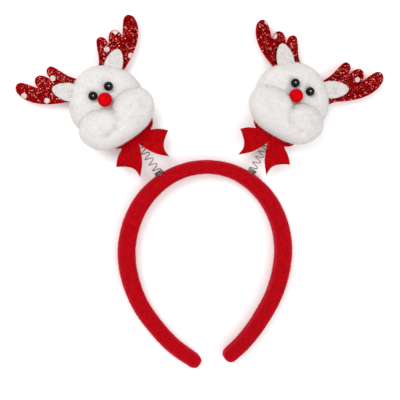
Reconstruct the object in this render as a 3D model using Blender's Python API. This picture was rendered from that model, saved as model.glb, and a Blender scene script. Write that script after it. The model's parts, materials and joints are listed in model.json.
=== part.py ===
"""A reindeer antler headband: a velvet-covered hair band that carries two stuffed reindeer heads on wire springs.

It lies on its back. +X is to the right and +Y towards the crown as it is seen from the front, and +Z is up, the way the
faces look. Each stuffed head is built in its own figure frame, whose Y axis runs up the spring from the band. The
left frame is the mirror image of the right one, and short tables give the small differences between the two heads.
"""

import math

import bmesh
import bpy
from mathutils import Matrix, Vector

MM = 0.001
GAP = 0.3 * MM

# Band: its centreline goes from the crown down both sides to the tips
BAND_HALF_WIDTH = 63.3 * MM
BAND_DROP = 152.0 * MM
BAND_THICKNESS = 14.0 * MM
BAND_DEPTH = 16.0 * MM
BAND_OUTER_ROUNDNESS = 2.2
BAND_INNER_ROUNDNESS = 3.2
BAND_STATIONS = 44
BAND_SIDES = 16
# Columns: share of the half width, share of the drop, share of the thickness
BAND_ROUTE = (
    (0.000, 0.000, 0.78),
    (0.354, 0.028, 0.82),
    (0.662, 0.109, 0.92),
    (0.882, 0.228, 0.98),
    (1.000, 0.377, 1.00),
    (1.001, 0.529, 1.00),
    (0.877, 0.702, 0.96),
    (0.656, 0.851, 0.93),
    (0.450, 0.951, 0.90),
    (0.242, 1.023, 0.86),
)
# Columns: share of the end's half thickness that is still to go, share of the full section
BAND_TIP = ((0.62, 0.93), (0.30, 0.76), (0.10, 0.50))

# Spring: close turns on the band, open turns, and close turns held in the head
WIRE_DIAMETER = 0.8 * MM
SPRING_RADIUS = 2.9 * MM
FOOT_RADIUS = 3.4 * MM
CLOSE_PITCH = 1.0 * MM
FOOT_TURNS = 3.5
TAPER_TURNS = 0.5
OPEN_TURNS = 8.5
TOP_TURNS = 1.5
SPRING_SINK = 1.0 * MM
SPRING_GRIP = 7.5 * MM
TURN_STEPS = 9
WIRE_SIDES = 5
ROOM_SIDES = 24

# Figure: the spring leads up to its neck, and the face's middle is above the neck and a little outside it
NECK_BELOW_EYES = 38.0 * MM
LEFT_FACE_ASIDE = 4.0 * MM
RIGHT_FACE_ASIDE = 1.2 * MM
LEFT_SPRING_REACH = 42.4 * MM
RIGHT_SPRING_REACH = 40.0 * MM
# Columns: side of the band, share of the band's length between the crown and the spring's foot, spring's lean from
# square to the band, length between the band and the neck, turn of the head on the spring, how far the face's middle
# is outside the neck, turn of the bow on the head. All turns are in degrees, outwards.
FIGURES = {
    "left": (-1, 0.080, 0.8, LEFT_SPRING_REACH, -2.7, LEFT_FACE_ASIDE, 0.0),
    "right": (1, 0.091, -4.1, RIGHT_SPRING_REACH, 0.4, RIGHT_FACE_ASIDE, 3.4),
}

# Stuffed head: a pillow round its seam, with its back flattened where it lies
HEAD_HALF_WIDTH = 31.3 * MM
HEAD_HALF_HEIGHT = 30.3 * MM
HEAD_CENTRE_BELOW_EYES = 10.5 * MM
HEAD_ROUNDNESS = 1.85
HEAD_SEAM_HEIGHT = 10.3 * MM
HEAD_FRONT = 13.2 * MM
HEAD_BACK = 13.0 * MM

# Muzzle: a second pillow with two cheeks on the front of the head
MUZZLE_HALF_WIDTH = 33.0 * MM
MUZZLE_HALF_HEIGHT = 18.0 * MM
MUZZLE_CENTRE_BELOW_EYES = 26.5 * MM
MUZZLE_SEAM_HEIGHT = 19.0 * MM
MUZZLE_FRONT = 14.0 * MM
MUZZLE_BACK = 4.0 * MM
CREASE_DEPTH = 0.42
CREASE_FADE = 0.65
CREASE_WIDTH = 4.8 * MM
# Columns: share of the half width, share of the half height, from the top notch round the outer cheek
CREASE = ((0.00, 0.72), (0.01, 0.50), (0.01, 0.15), (0.11, -0.11), (0.28, -0.23), (0.42, -0.25))
# Columns: share of the half width, share of the half height, from the top notch round one cheek to the bottom
MUZZLE_OUTLINE = (
    (0.000, 0.690),
    (0.085, 0.820),
    (0.240, 0.965),
    (0.455, 1.010),
    (0.712, 0.885),
    (0.918, 0.610),
    (1.000, 0.195),
    (0.950, -0.240),
    (0.818, -0.575),
    (0.590, -0.850),
    (0.300, -0.965),
    (0.000, -0.985),
)

HEAD_SIDES = 32
MUZZLE_SIDES = 34
# Share of the way from the middle of a pillow to its seam, ring by ring
FRONT_RINGS = (0.30, 0.58, 0.79, 0.92, 0.98)
BACK_RINGS = (0.64, 0.82, 0.95)
PILLOW_FULLNESS = 2.5

# Bead eyes and pompom nose
EYE_RADIUS = 3.6 * MM
EYE_ASIDE = 7.0 * MM
EYE_PROUD = 1.2 * MM
NOSE_RADIUS = 5.4 * MM
NOSE_BELOW_EYES = 7.9 * MM
NOSE_PROUD = 3.2 * MM
# Columns: share of the nose's drop outwards of the middle, share of its drop below the eyes
NOSE_SET = {"left": (0.11, 0.89), "right": (-0.25, 1.10)}

# Felt ears
EAR_THICKNESS = 2.0 * MM
EAR_HEIGHT = 12.2 * MM
EAR_LENGTH = 17.0 * MM
EAR_HALF_WIDTH = 6.9 * MM
# Columns: which ear, its root as shares of the head's half width and half height from the middle of the eyes, lean
# from upright in degrees, share of the full length
EAR_SET = {
    "outer_left": (0.562, 0.300, 47.2, 0.99),
    "inner_left": (0.549, 0.307, 50.3, 0.95),
    "outer_right": (0.687, 0.322, 60.0, 1.05),
    "inner_right": (0.561, 0.345, 43.5, 1.03),
}
# Columns: share of the length from the head's edge, share of the half width
EAR_OUTLINE = (
    (-0.30, 0.80),
    (0.00, 0.96),
    (0.25, 1.00),
    (0.52, 0.89),
    (0.76, 0.65),
    (0.93, 0.34),
    (1.00, 0.00),
)

# Felt antlers, outlined from the face's middle
ANTLER_THICKNESS = 1.6 * MM
ANTLER_HEIGHT = 9.0 * MM
ANTLER_REACH = 54.0 * MM
ANTLER_RISE = 36.5 * MM
# The place in the outline that each antler is turned about, as shares of the reach and the rise
ANTLER_ROOT = (0.370, 0.274)
# Columns: which antler, where its root is as shares of the head's half width and half height from the middle of the
# eyes, turn in degrees as it is seen with its own side to the right, size
ANTLER_SET = {
    "outer_left": (0.668, 0.347, 0.0, 1.00),
    "inner_left": (0.649, 0.303, 3.6, 1.02),
    "outer_right": (0.895, 0.340, 10.3, 1.08),
    "inner_right": (0.549, 0.307, -6.5, 1.015),
}
# Columns: share of the reach, share of the rise, whether the outline turns a corner there
ANTLER_OUTLINE = (
    (0.100, 0.330, True),
    (0.180, 0.471, False),
    (0.256, 0.616, False),
    (0.324, 0.822, False),
    (0.380, 0.950, False),
    (0.444, 0.959, False),
    (0.489, 0.877, False),
    (0.488, 0.735, True),
    (0.546, 0.863, False),
    (0.611, 0.926, False),
    (0.676, 0.904, False),
    (0.709, 0.816, False),
    (0.712, 0.710, True),
    (0.811, 0.899, False),
    (0.880, 0.998, False),
    (0.954, 0.998, False),
    (1.000, 0.890, False),
    (0.981, 0.726, False),
    (0.917, 0.562, False),
    (0.815, 0.411, False),
    (0.694, 0.288, False),
    (0.556, 0.186, False),
    (0.426, 0.104, False),
    (0.320, -0.030, True),
)

# Felt bow: a collar behind the muzzle and two forked tails, placed from the spring's axis at the neck
FELT_THICKNESS = 1.3 * MM
COLLAR_CLEARANCE = 0.4 * MM
COLLAR_HEIGHT = BAND_DEPTH / 2 + SPRING_RADIUS + WIRE_DIAMETER / 2 + COLLAR_CLEARANCE
COLLAR_HALF_WIDTH = 20.3 * MM
COLLAR_DROP = 9.6 * MM
COLLAR_TUCK = 2.0 * MM
COLLAR_TURN_UP = 8.6 * MM
# Share of the half width at the collar's hidden upper edge
COLLAR_TOP = 0.8
# Columns: share of the half width, share of the turn-up, from one end of the lower edge to its middle
COLLAR_EDGE = ((1.00, 1.00), (0.86, 0.45), (0.55, 0.08), (0.00, 0.00))
KNOT_DROP = 9.0 * MM
TAIL_WIDTH = 24.7 * MM
TAIL_LENGTH = 25.4 * MM
TAIL_TUCK = 4.5 * MM
TAIL_TURN = -3.0
TAIL_CURL = 1.6 * MM
TAIL_NEAR_CURL = 0.4
TAIL_ROWS = 6
TAIL_COLUMNS = 9
# Columns of all three: share of the tail's width from the spring's axis, share of its length from the knot
TAIL_NEAR_EDGE = ((0.01, 0.00), (0.04, 0.20), (0.12, 0.42), (0.27, 0.70))
TAIL_FAR_EDGE = ((0.52, -0.05), (0.80, 0.12))
TAIL_FORK = ((0.56, 1.00), (0.55, 0.76), (0.64, 0.58), (0.80, 0.44), (1.00, 0.31))

VELVET_RED = (0.62, 0.008, 0.016, 1)
FELT_RED = (0.60, 0.004, 0.012, 1)
GLITTER_RED = (0.42, 0.004, 0.008, 1)
NOSE_RED = (0.85, 0.006, 0.012, 1)
FLEECE_WHITE = (0.86, 0.84, 0.82, 1)
FELT_WHITE = (0.84, 0.82, 0.80, 1)
BEAD_BLACK = (0.006, 0.006, 0.007, 1)
WIRE_STEEL = (0.34, 0.29, 0.27, 1)
# Columns: colour, roughness, metallic
MATERIALS = {
    "red_velvet": (VELVET_RED, 0.85, 0.0),
    "red_felt": (FELT_RED, 0.90, 0.0),
    "red_glitter": (GLITTER_RED, 0.35, 0.3),
    "red_pompom": (NOSE_RED, 0.90, 0.0),
    "white_fleece": (FLEECE_WHITE, 0.95, 0.0),
    "white_felt": (FELT_WHITE, 0.92, 0.0),
    "black_bead": (BEAD_BLACK, 0.08, 0.0),
    "spring_wire": (WIRE_STEEL, 0.35, 1.0),
}


def clear_scene():
    for obj in list(bpy.data.objects):
        bpy.data.objects.remove(obj)


def material(name):
    made = bpy.data.materials.get(name)
    if made:
        return made
    colour, roughness, metallic = MATERIALS[name]
    made = bpy.data.materials.new(name)
    made.use_nodes = True
    shader = made.node_tree.nodes["Principled BSDF"]
    shader.inputs["Base Color"].default_value = colour
    shader.inputs["Roughness"].default_value = roughness
    shader.inputs["Metallic"].default_value = metallic
    made.diffuse_color = colour
    return made


def add_object(name, mesh, material_name, parent=None):
    """A visible piece, smooth where its faces meet at a shallow angle."""
    obj = bpy.data.objects.new(name, mesh)
    bpy.context.scene.collection.objects.link(obj)
    obj.parent = parent
    mesh.materials.append(material(material_name))
    mesh.shade_smooth()
    mesh.set_sharp_from_angle(angle=math.radians(40))
    return obj


def add_empty(name, parent=None):
    obj = bpy.data.objects.new(name, None)
    bpy.context.scene.collection.objects.link(obj)
    obj.parent = parent
    return obj


def mesh_of(name, bm):
    bmesh.ops.recalc_face_normals(bm, faces=bm.faces[:])
    mesh = bpy.data.meshes.new(name)
    bm.to_mesh(mesh)
    bm.free()
    return mesh


def grown(mesh, by):
    """A copy of the mesh, larger by that distance all over."""
    bm = bmesh.new()
    bm.from_mesh(mesh)
    bm.normal_update()
    moved = [v.co + v.normal * v.calc_shell_factor() * by for v in bm.verts]
    for vert, place in zip(bm.verts, moved):
        vert.co = place
    return mesh_of(mesh.name + "_room", bm)


def cut_room(obj, piece, clearance=GAP):
    """Leaves room in obj for the piece, with the clearance all round it."""
    cutter = bpy.data.objects.new(f"{obj.name}_room_for_{piece.name}", grown(piece.data, clearance))
    bpy.context.scene.collection.objects.link(cutter)
    cutter.parent = piece.parent
    cutter.location = piece.location
    cutter.hide_render = True
    cutter.display_type = "WIRE"
    cut = obj.modifiers.new("room_for_" + piece.name, "BOOLEAN")
    cut.operation = "DIFFERENCE"
    cut.solver = "EXACT"
    cut.object = cutter


def smooth_curve(points, steps, closed=False):
    """Points on a Catmull-Rom curve through the given points, with that many steps between neighbours."""
    points = [Vector(p) for p in points]
    count = len(points)

    def point(i):
        if closed:
            return points[i % count]
        if i < 0:
            return 2 * points[0] - points[1]
        if i >= count:
            return 2 * points[-1] - points[-2]
        return points[i]

    made = []
    for i in range(count if closed else count - 1):
        p0, p1, p2, p3 = (point(i + k) for k in (-1, 0, 1, 2))
        for step in range(steps):
            t = step / steps
            made.append(
                0.5 * (2 * p1 + (p2 - p0) * t + (2 * p0 - 5 * p1 + 4 * p2 - p3) * t**2
                       + (3 * p1 - p0 - 3 * p2 + p3) * t**3)
            )
    if not closed:
        made.append(points[-1])
    return made


def evenly(points, count):
    """That many points, evenly spaced along the line through the given ones."""
    lengths = [0.0]
    for a, b in zip(points, points[1:]):
        lengths.append(lengths[-1] + (b - a).length)
    made = []
    k = 0
    for i in range(count):
        wanted = lengths[-1] * i / (count - 1)
        while k < len(points) - 2 and lengths[k + 1] < wanted:
            k += 1
        share = (wanted - lengths[k]) / (lengths[k + 1] - lengths[k])
        made.append(points[k].lerp(points[k + 1], share))
    return made


def bridge(bm, ring_a, ring_b):
    count = len(ring_a)
    for i in range(count):
        j = (i + 1) % count
        bm.faces.new((ring_a[i], ring_a[j], ring_b[j], ring_b[i]))


def loft(name, rings):
    """A closed solid through rings of points, capped flat at both ends."""
    bm = bmesh.new()
    made = [[bm.verts.new(p) for p in ring] for ring in rings]
    for a, b in zip(made, made[1:]):
        bridge(bm, a, b)
    bm.faces.new(made[0])
    bm.faces.new(made[-1])
    return mesh_of(name, bm)


def band_line():
    """The band's centreline from the left tip over the crown to the right tip, as (x, y, thickness)."""
    right = [(x * BAND_HALF_WIDTH, -y * BAND_DROP, t * BAND_THICKNESS) for x, y, t in BAND_ROUTE]
    left = [(-x, y, t) for x, y, t in reversed(right[1:])]
    return evenly(smooth_curve(left + right, 12), BAND_STATIONS + 1)


def outward(line, i):
    """The direction in the band's plane that points away from the wearer's head at a station."""
    along = line[min(i + 1, len(line) - 1)] - line[max(i - 1, 0)]
    return Vector((-along.y, along.x, 0)).normalized()


def band_section(centre, out, thickness, share):
    """One ring of the band: rounder outside, flatter against the head."""
    ring = []
    for k in range(BAND_SIDES):
        angle = 2 * math.pi * k / BAND_SIDES
        c, s = math.cos(angle), math.sin(angle)
        power = 2 / (BAND_OUTER_ROUNDNESS if c > 0 else BAND_INNER_ROUNDNESS)
        radial = math.copysign(abs(c) ** power, c) * thickness / 2
        across = math.copysign(abs(s) ** power, s) * BAND_DEPTH / 2
        ring.append(centre + share * (out * radial + Vector((0, 0, across))))
    return ring


def build_band(layout):
    line = band_line()
    rings = []
    last = len(line) - 1
    for i, (x, y, thickness) in enumerate(line):
        centre = Vector((x, y, BAND_DEPTH / 2))
        out = outward(line, i)
        rings.append(band_section(centre, out, thickness, 1.0))
        if i not in (0, last):
            continue
        along = Vector((out.y, -out.x, 0)) * (-1 if i == 0 else 1)
        dome = []
        for to_go, share in BAND_TIP:
            beyond = centre + along * (1 - to_go) * thickness / 2
            dome.append(band_section(beyond, out, thickness, share))
        if i == 0:
            rings = dome[::-1] + rings
        else:
            rings += dome
    return add_object("band", loft("band", rings), "red_velvet", layout)


def spring_foot(side, share):
    """The place on the band's outer face that a spring stands on, and the way out of the band there."""
    line = band_line()
    place = (0.5 + side * share) * (len(line) - 1)
    i = int(place)
    here = line[i].lerp(line[i + 1], place - i)
    out = outward(line, i).lerp(outward(line, i + 1), place - i).normalized()
    surface = Vector((here.x, here.y, BAND_DEPTH / 2)) + out * here.z / 2
    return surface, out


def spring_line(length):
    """The wire's middle line in the figure frame: up Y from the band."""
    start = WIRE_DIAMETER / 2 - SPRING_SINK
    end = length - WIRE_DIAMETER / 2
    foot_rise = FOOT_TURNS * CLOSE_PITCH
    top_rise = TOP_TURNS * CLOSE_PITCH
    open_pitch = (end - start - foot_rise - top_rise) / OPEN_TURNS
    turns = FOOT_TURNS + OPEN_TURNS + TOP_TURNS
    steps = round(turns * TURN_STEPS)
    points = []
    height = start
    for k in range(steps + 1):
        turn = turns * k / steps
        eased = min(1.0, max(0.0, (turn - FOOT_TURNS) / TAPER_TURNS + 1))
        radius = FOOT_RADIUS + (SPRING_RADIUS - FOOT_RADIUS) * eased
        angle = 2 * math.pi * turn
        points.append(Vector((radius * math.cos(angle), height, radius * math.sin(angle))))
        opened = FOOT_TURNS <= turn < FOOT_TURNS + OPEN_TURNS
        height += (open_pitch if opened else CLOSE_PITCH) * turns / steps
    return points


def tube(name, line, radius, sides):
    """A round wire along the line, its section kept level with the figure frame's Y axis."""
    rings = []
    last = len(line) - 1
    for i, centre in enumerate(line):
        along = (line[min(i + 1, last)] - line[max(i - 1, 0)]).normalized()
        out = Vector((centre.x, 0, centre.z)).normalized()
        out = (out - along * out.dot(along)).normalized()
        level = along.cross(out)
        ring = []
        for k in range(sides):
            angle = 2 * math.pi * k / sides
            ring.append(centre + radius * (out * math.cos(angle) + level * math.sin(angle)))
        rings.append(ring)
    return loft(name, rings)


def disc_room(name, radius, low, high, height, parent):
    """A hidden round cutter along the spring's axis."""
    bm = bmesh.new()
    bmesh.ops.create_cone(bm, cap_ends=True, segments=ROOM_SIDES, radius1=radius, radius2=radius, depth=high - low)
    turn = Matrix.Rotation(math.radians(-90), 4, "X")
    bm.transform(Matrix.Translation((0, (low + high) / 2, height)) @ turn)
    obj = bpy.data.objects.new(name, mesh_of(name, bm))
    bpy.context.scene.collection.objects.link(obj)
    obj.parent = parent
    obj.hide_render = True
    obj.display_type = "WIRE"
    return obj


def cut(obj, cutter):
    made = obj.modifiers.new(cutter.name, "BOOLEAN")
    made.operation = "DIFFERENCE"
    made.solver = "EXACT"
    made.object = cutter


def head_outline(angle):
    """A point of the head's seam round its own centre."""
    c, s = math.cos(angle), math.sin(angle)
    reach = (abs(c) ** HEAD_ROUNDNESS + abs(s) ** HEAD_ROUNDNESS) ** (-1 / HEAD_ROUNDNESS)
    return Vector((HEAD_HALF_WIDTH * c * reach, HEAD_HALF_HEIGHT * s * reach))


def swell(share):
    """How full a pillow is at a share of the way from its middle to its seam."""
    return math.sqrt(max(0.0, 1 - share**PILLOW_FULLNESS))


def head_front(x, y):
    """Height of the head's front over the table at a point measured from the middle of the eyes."""
    dx = abs(x) / HEAD_HALF_WIDTH
    dy = abs(y + HEAD_CENTRE_BELOW_EYES) / HEAD_HALF_HEIGHT
    share = (dx**HEAD_ROUNDNESS + dy**HEAD_ROUNDNESS) ** (1 / HEAD_ROUNDNESS)
    return HEAD_SEAM_HEIGHT + HEAD_FRONT * swell(share)


def pillow(name, outline, centre, seam, front, back):
    """A stuffed form round a seam line. front and back give the height over a point at a share of the way out."""
    count = len(outline)
    bm = bmesh.new()
    seam_ring = [bm.verts.new((centre.x + p.x, centre.y + p.y, seam)) for p in outline]
    for shares, height in ((FRONT_RINGS, front), (BACK_RINGS, back)):
        outer = seam_ring
        for share in reversed(shares):
            ring = []
            for p in outline:
                x, y = centre.x + p.x * share, centre.y + p.y * share
                ring.append(bm.verts.new((x, y, height(x, y, share))))
            bridge(bm, outer, ring)
            outer = ring
        middle = bm.verts.new((centre.x, centre.y, height(centre.x, centre.y, 0.0)))
        for i in range(count):
            bm.faces.new((outer[i], outer[(i + 1) % count], middle))
    return mesh_of(name, bm)


def build_head(name, parent):
    outline = [head_outline(2 * math.pi * i / HEAD_SIDES) for i in range(HEAD_SIDES)]

    def front(x, y, share):
        return HEAD_SEAM_HEIGHT + HEAD_FRONT * swell(share)

    def back(x, y, share):
        return max(0.0, HEAD_SEAM_HEIGHT - HEAD_BACK * swell(share))

    centre = Vector((0, -HEAD_CENTRE_BELOW_EYES))
    mesh = pillow(name, outline, centre, HEAD_SEAM_HEIGHT, front, back)
    return add_object(name, mesh, "white_fleece", parent)


def muzzle_outline():
    half = [(x * MUZZLE_HALF_WIDTH, y * MUZZLE_HALF_HEIGHT) for x, y in MUZZLE_OUTLINE]
    other = [(-x, y) for x, y in reversed(half[1:-1])]
    loop = smooth_curve(half + other, 8, closed=True)
    return evenly(loop + loop[:1], MUZZLE_SIDES + 1)[:-1]


def build_muzzle(name, parent):
    centre = Vector((0, -MUZZLE_CENTRE_BELOW_EYES))

    crease = smooth_curve([(x * MUZZLE_HALF_WIDTH, y * MUZZLE_HALF_HEIGHT) for x, y in CREASE], 3)

    def front(x, y, share):
        here = Vector((x, y)) - centre
        deepest = 0.0
        for k, p in enumerate(crease):
            kept = 1 - CREASE_FADE * k / (len(crease) - 1)
            deepest = max(deepest, kept * math.exp(-(((here - p).length / CREASE_WIDTH) ** 2)))
        return MUZZLE_SEAM_HEIGHT + MUZZLE_FRONT * swell(share) * (1 - CREASE_DEPTH * deepest)

    def back(x, y, share):
        return MUZZLE_SEAM_HEIGHT - MUZZLE_BACK * swell(share)

    mesh = pillow(name, muzzle_outline(), centre, MUZZLE_SEAM_HEIGHT, front, back)
    return add_object(name, mesh, "white_fleece", parent)


def ball(name, radius, material_name, place, parent, rings=8, segments=14):
    bm = bmesh.new()
    bmesh.ops.create_uvsphere(bm, u_segments=segments, v_segments=rings, radius=radius)
    obj = add_object(name, mesh_of(name, bm), material_name, parent)
    obj.location = place
    return obj


def felt_plate(name, outline, low, thickness, material_name, parent):
    """A flat piece of felt cut to the outline."""
    bm = bmesh.new()
    face = bm.faces.new([bm.verts.new((p.x, p.y, low)) for p in outline])
    bmesh.ops.triangulate(bm, faces=[face])
    raised = bmesh.ops.extrude_face_region(bm, geom=bm.faces[:])
    top = [v for v in raised["geom"] if isinstance(v, bmesh.types.BMVert)]
    bmesh.ops.translate(bm, verts=top, vec=(0, 0, thickness))
    return add_object(name, mesh_of(name, bm), material_name, parent)


def with_corners(rows, steps):
    """An outline that is smooth between the rows marked as corners."""
    corners = [i for i, row in enumerate(rows) if row[2]]
    made = []
    for a, b in zip(corners, corners[1:]):
        made += smooth_curve([row[:2] for row in rows[a:b + 1]], steps)[:-1]
    return made + [Vector(rows[-1][:2])]


def head_place(hand, across, up):
    """A place on the head's side, by shares of its half width and half height from the middle of the eyes."""
    return Vector((hand * across * HEAD_HALF_WIDTH, up * HEAD_HALF_HEIGHT))


def build_antler(label, hand, parent):
    rows = [(hand * x * ANTLER_REACH, y * ANTLER_RISE, corner) for x, y, corner in ANTLER_OUTLINE]
    across, up, turn, size = ANTLER_SET[label]
    held_at = Vector((hand * ANTLER_ROOT[0] * ANTLER_REACH, ANTLER_ROOT[1] * ANTLER_RISE))
    turned = Matrix.Rotation(hand * math.radians(turn), 2)
    root = head_place(hand, across, up)
    outline = [root + size * (turned @ (p - held_at)) for p in with_corners(rows, 2)]
    return felt_plate("antler_" + label, outline, ANTLER_HEIGHT, ANTLER_THICKNESS, "red_glitter", parent)


def build_ear(label, hand, parent):
    across, up, lean, size = EAR_SET[label]
    edge = [(w * EAR_HALF_WIDTH, a * size * EAR_LENGTH) for a, w in EAR_OUTLINE]
    edge += [(-w, a) for w, a in reversed(edge[:-1])]
    leaning = Matrix.Rotation(-hand * math.radians(lean), 2)
    root = head_place(hand, across, up)
    outline = [root + leaning @ p for p in smooth_curve(edge, 2)]
    return felt_plate("ear_" + label, outline, EAR_HEIGHT, EAR_THICKNESS, "white_felt", parent)


def build_collar(name, bow):
    """The bow's loops: a felt crescent that shows below the muzzle's edge."""
    lower = [(x * COLLAR_HALF_WIDTH, y * COLLAR_TURN_UP - COLLAR_DROP) for x, y in COLLAR_EDGE]
    lower += [(-x, y) for x, y in reversed(lower[:-1])]
    outline = smooth_curve(lower, 3)
    top = COLLAR_TOP * COLLAR_HALF_WIDTH
    outline += [Vector((-top, COLLAR_TUCK)), Vector((top, COLLAR_TUCK))]
    return felt_plate(name, outline, COLLAR_HEIGHT, FELT_THICKNESS, "red_felt", bow)


def tail_point(across, along):
    """A place on a tail, seen from the front: shares of its width and length from the knot."""
    return Vector((across * TAIL_WIDTH, -along * TAIL_LENGTH))


def tail_edge(rows, fork_point):
    """One long edge of a tail, from its tuck under the muzzle to an end of the fork."""
    points = [tail_point(*row) for row in rows]
    points = [points[0] + Vector((0, TAIL_TUCK))] + points + [tail_point(*fork_point)]
    return evenly(smooth_curve(points, 6), TAIL_ROWS)


def build_tail(name, hand, bow):
    """One forked tail: rows of points from under the muzzle to the fork, which curl a little forward."""
    near = tail_edge(TAIL_NEAR_EDGE, TAIL_FORK[0])
    far = tail_edge(TAIL_FAR_EDGE, TAIL_FORK[-1])
    fork = evenly(smooth_curve([tail_point(*p) for p in TAIL_FORK], 4), TAIL_COLUMNS)
    turn = Matrix.Rotation(math.radians(TAIL_TURN), 2)
    low = COLLAR_HEIGHT + FELT_THICKNESS + GAP
    bm = bmesh.new()
    sheets = []
    for level in (low, low + FELT_THICKNESS):
        sheet = []
        for r in range(TAIL_ROWS):
            down = r / (TAIL_ROWS - 1)
            row = []
            for c in range(TAIL_COLUMNS):
                side = c / (TAIL_COLUMNS - 1)
                bent = fork[c] - near[-1].lerp(far[-1], side)
                p = near[r].lerp(far[r], side) + bent * down**2
                flat = turn @ Vector((hand * (p.x + GAP), p.y))
                curl = TAIL_CURL * down**2 * (TAIL_NEAR_CURL + (1 - TAIL_NEAR_CURL) * side)
                row.append(bm.verts.new((flat.x, flat.y - KNOT_DROP, level + curl)))
            sheet.append(row)
        sheets.append(sheet)
    for sheet in sheets:
        for a, b in zip(sheet, sheet[1:]):
            for c in range(TAIL_COLUMNS - 1):
                bm.faces.new((a[c], a[c + 1], b[c + 1], b[c]))
    rims = []
    for sheet in sheets:
        rim = list(sheet[0]) + [row[-1] for row in sheet[1:]]
        rim += list(reversed(sheet[-1][:-1])) + [row[0] for row in reversed(sheet[1:-1])]
        rims.append(rim)
    bridge(bm, *rims)
    return add_object(name, mesh_of(name, bm), "red_felt", bow)


def build_figure(label, band, layout):
    """One stuffed reindeer head with its bow and its spring, on its side of the band."""
    side, share, lean, reach, turn, aside, bow_turn = FIGURES[label]
    foot, out = spring_foot(side, share)
    figure = add_empty("figure_" + label, layout)
    figure.location = (foot.x, foot.y, 0)
    tilt = math.atan2(side * out.x, out.y) + math.radians(lean)
    figure.rotation_euler = (0, 0, -side * tilt)
    figure.scale = (side, 1, 1)
    neck = add_empty("neck_" + label, figure)
    neck.location = (0, reach, 0)
    neck.rotation_euler = (0, 0, -math.radians(turn))
    face = add_empty("face_" + label, neck)
    face.location = (aside, NECK_BELOW_EYES, 0)
    bow = add_empty("bow_" + label, neck)
    bow.rotation_euler = (0, 0, -math.radians(bow_turn))

    wire = tube("spring", spring_line(reach + SPRING_GRIP), WIRE_DIAMETER / 2, WIRE_SIDES)
    spring = add_object("spring_" + label, wire, "spring_wire", figure)
    spring.location = (0, 0, BAND_DEPTH / 2)
    head = build_head("head_" + label, face)
    muzzle = build_muzzle("muzzle_" + label, face)
    collar = build_collar("bow_collar_" + label, bow)
    cut_room(head, muzzle)
    cut_room(head, collar)
    for hand, where in ((1, "outer"), (-1, "inner")):
        build_tail(f"bow_tail_{where}_{label}", hand, bow)
        height = head_front(EYE_ASIDE, 0) + EYE_PROUD
        eye = ball(f"eye_{where}_{label}", EYE_RADIUS, "black_bead", (hand * EYE_ASIDE, 0, height), face)
        antler = build_antler(f"{where}_{label}", hand, face)
        ear = build_ear(f"{where}_{label}", hand, face)
        for piece in (eye, antler, ear):
            cut_room(head, piece)
    nose_x, nose_y = (part * NOSE_BELOW_EYES for part in NOSE_SET[label])
    nose_height = head_front(nose_x, -nose_y) + NOSE_PROUD
    nose = ball("nose_" + label, NOSE_RADIUS, "red_pompom", (nose_x, -nose_y, nose_height), face)
    cut_room(nose, muzzle)
    cut_room(head, nose)

    wire_room = WIRE_DIAMETER / 2 + GAP
    socket = disc_room("socket_" + label, SPRING_RADIUS + wire_room, reach / 2, reach + SPRING_GRIP + GAP,
                       BAND_DEPTH / 2, figure)
    cut(head, socket)
    seat = disc_room("seat_" + label, FOOT_RADIUS + wire_room, -SPRING_SINK - GAP, reach / 2,
                     BAND_DEPTH / 2, figure)
    cut(band, seat)


def stand_on_origin(layout):
    """Moves the whole headband so that the middle of its underside is at the origin."""
    bpy.context.view_layer.update()
    pieces = [obj for obj in bpy.context.scene.objects if obj.type == "MESH" and not obj.hide_render]
    places = [obj.matrix_world @ vert.co for obj in pieces for vert in obj.data.vertices]
    low = [min(p[axis] for p in places) for axis in range(3)]
    high = [max(p[axis] for p in places) for axis in range(3)]
    layout.location = (-(low[0] + high[0]) / 2, -(low[1] + high[1]) / 2, -low[2])


def main():
    clear_scene()
    layout = add_empty("layout")
    band = build_band(layout)
    for label in FIGURES:
        build_figure(label, band, layout)
    stand_on_origin(layout)


main()
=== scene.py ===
"""The reindeer antler headband in its looks: velvet, fleece, felt, glitter, beads and wire, on a pale table."""
import json
import math

import bmesh
import bpy
import numpy as np
from mathutils import Matrix, Vector, noise

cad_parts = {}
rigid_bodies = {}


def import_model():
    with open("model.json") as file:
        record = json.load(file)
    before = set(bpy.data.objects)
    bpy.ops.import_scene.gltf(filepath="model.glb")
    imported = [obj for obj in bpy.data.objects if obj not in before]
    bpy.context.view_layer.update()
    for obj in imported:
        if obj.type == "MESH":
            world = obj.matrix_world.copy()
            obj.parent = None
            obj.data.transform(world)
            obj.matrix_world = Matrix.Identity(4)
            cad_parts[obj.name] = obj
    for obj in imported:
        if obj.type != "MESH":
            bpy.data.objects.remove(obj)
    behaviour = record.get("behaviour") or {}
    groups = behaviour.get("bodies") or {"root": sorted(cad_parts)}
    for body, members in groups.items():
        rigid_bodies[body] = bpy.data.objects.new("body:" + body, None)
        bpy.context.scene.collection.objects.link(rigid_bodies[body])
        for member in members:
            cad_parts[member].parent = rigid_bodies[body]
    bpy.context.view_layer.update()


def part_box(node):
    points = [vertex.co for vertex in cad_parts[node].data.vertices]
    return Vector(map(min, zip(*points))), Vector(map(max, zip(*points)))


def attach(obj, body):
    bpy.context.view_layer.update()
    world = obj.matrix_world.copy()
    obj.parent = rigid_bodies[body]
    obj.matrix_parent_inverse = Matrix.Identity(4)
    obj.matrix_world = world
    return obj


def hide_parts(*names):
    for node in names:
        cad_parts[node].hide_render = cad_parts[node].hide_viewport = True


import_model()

MM = 0.001
BAND_DEPTH = 16.0 * MM
CROWN_THICKNESS = 10.9 * MM
# The least height of a soft surface over the table
REST_GAP = 0.05 * MM
# The side of its figure, seen along X, on which a piece with this name sits
HANDS = {"inner": -1, "outer": 1}

band_low, band_high = (Vector(p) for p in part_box("band"))
crown = Vector(((band_low.x + band_high.x) / 2, band_high.y - CROWN_THICKNESS / 2, 0))


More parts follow.
